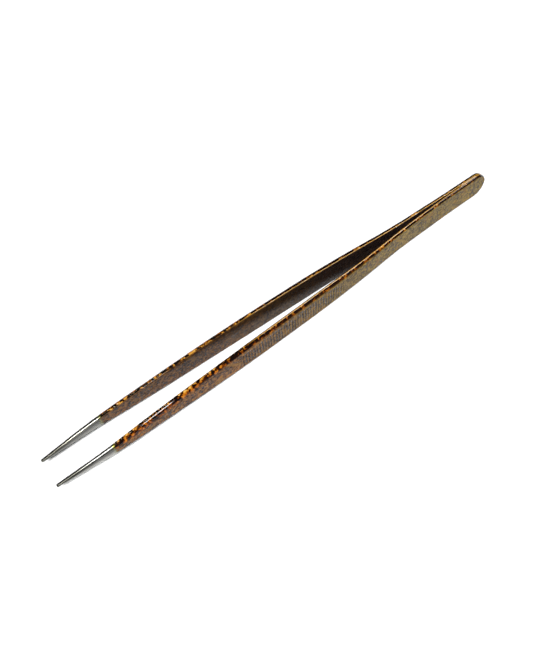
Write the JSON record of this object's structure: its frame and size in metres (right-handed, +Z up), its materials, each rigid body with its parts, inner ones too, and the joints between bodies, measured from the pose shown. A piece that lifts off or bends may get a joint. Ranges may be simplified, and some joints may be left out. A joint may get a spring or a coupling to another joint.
{
  "type": "aquascaping tweezers",
  "caption": "Long straight sprung tweezers for planting in an aquarium, with fine tips, a ribbed grip and a round welded tail.",
  "frame": {"origin": "middle of the tool's length and of its opening, on the plane that its long edges rest on", "axes": "+X from the tips to the tail, +Y across the opening to the rear arm, +Z up along the width of the strips"},
  "size_m": [0.2, 0.0146, 0.0108],
  "materials": {
    "tortoiseshell_lacquer": "gloss",
    "weld_lacquer": "gloss"
  },
  "bodies": {
    "tail": {"front_arm_root": "tortoiseshell_lacquer", "rear_arm_root": "tortoiseshell_lacquer", "tail_weld": "weld_lacquer"},
    "front_arm": {"front_arm_blade": "tortoiseshell_lacquer"},
    "rear_arm": {"rear_arm_blade": "tortoiseshell_lacquer"}
  },
  "joints": [
    {"name": "front_arm_flex", "type": "hinge", "parent": "tail", "child": "front_arm", "pos_m": [0.064, -0.00127, 0.0054], "axis": [0, 0, -1], "range_deg": [0, 1.72], "stiffness_Nm_per_rad": 9.3},
    {"name": "rear_arm_flex", "type": "hinge", "parent": "tail", "child": "rear_arm", "pos_m": [0.064, 0.00127, 0.0054], "axis": [0, 0, 1], "range_deg": [0, 1.72], "stiffness_Nm_per_rad": 9.3}
  ],
  "couplings": [
    {"joint": "rear_arm_flex", "follows": "front_arm_flex", "ratio": 1}
  ]
}
